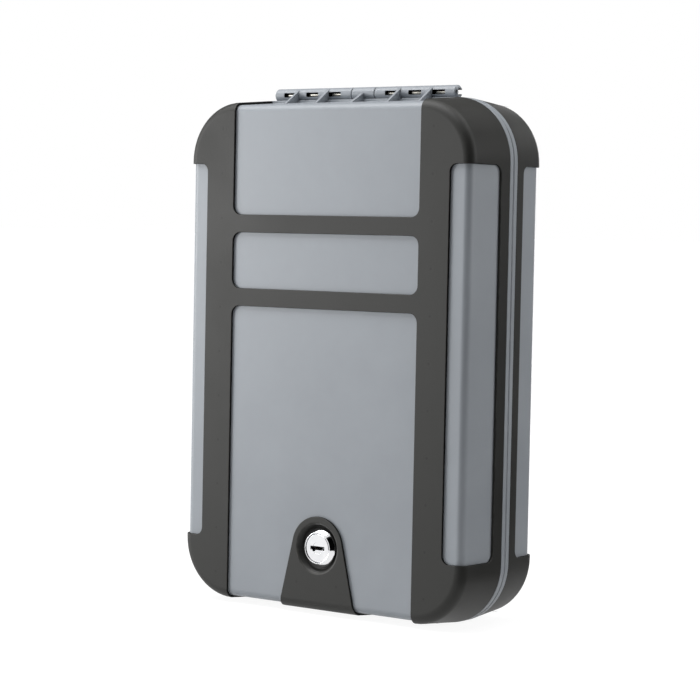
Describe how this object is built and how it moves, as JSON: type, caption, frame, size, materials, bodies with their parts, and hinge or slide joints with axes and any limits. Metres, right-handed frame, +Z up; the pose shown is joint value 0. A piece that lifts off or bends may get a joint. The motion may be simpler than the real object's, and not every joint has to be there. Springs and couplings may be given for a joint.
{
  "type": "portable lock box",
  "caption": "Upright clamshell lock box with hard grey shells in dark rubber bumpers, a slotted hinge along the top, foam lining and a key lock with a cam.",
  "frame": {"origin": "middle of the bottom of the bounding box, on the surface that the upright box stands on", "axes": "+X to the right seen from the lock side, +Y from the lock side to the back, +Z up to the hinge"},
  "size_m": [0.165, 0.057, 0.2421],
  "materials": {
    "shell": "fine moulded texture",
    "rubber": "matt",
    "foam": "open cell foam",
    "chrome": "polished",
    "steel": "zinc plated",
    "brass": "plain"
  },
  "bodies": {
    "base": {"back_shell": "shell", "back_bumper": "rubber", "back_foam": "foam", "hinge_pin": "steel", "strike_plate": "steel", "strike_screws": "steel"},
    "lid": {"front_shell": "shell", "front_bumper": "rubber", "lock_surround": "rubber", "front_foam": "foam", "lock_housing": "chrome", "lock_washer": "steel", "lock_nut": "steel"},
    "plug": {"lock_plug": "chrome", "stop_washer": "steel", "lock_cam": "steel", "cam_washer": "steel", "cam_screw": "steel", "wafer_springs": "steel"},
    "wafers": {"wafers": "brass"}
  },
  "joints": [
    {"name": "lid_hinge", "type": "hinge", "parent": "base", "child": "lid", "pos_m": [0, 0.00245, 0.239], "axis": [-1, 0, 0], "range_deg": [0, 180]},
    {"name": "lock_turn", "type": "hinge", "parent": "lid", "child": "plug", "pos_m": [0, -0.0093, 0.0309], "axis": [0, 1, 0], "range_deg": [0, 90]},
    {"name": "wafer_slide", "type": "slide", "parent": "plug", "child": "wafers", "axis": [1, 0, 0], "range_m": [0, 0.0006], "stiffness_N_per_m": 50, "springref_m": 0.0006, "deforming": ["wafer_springs"]}
  ]
}
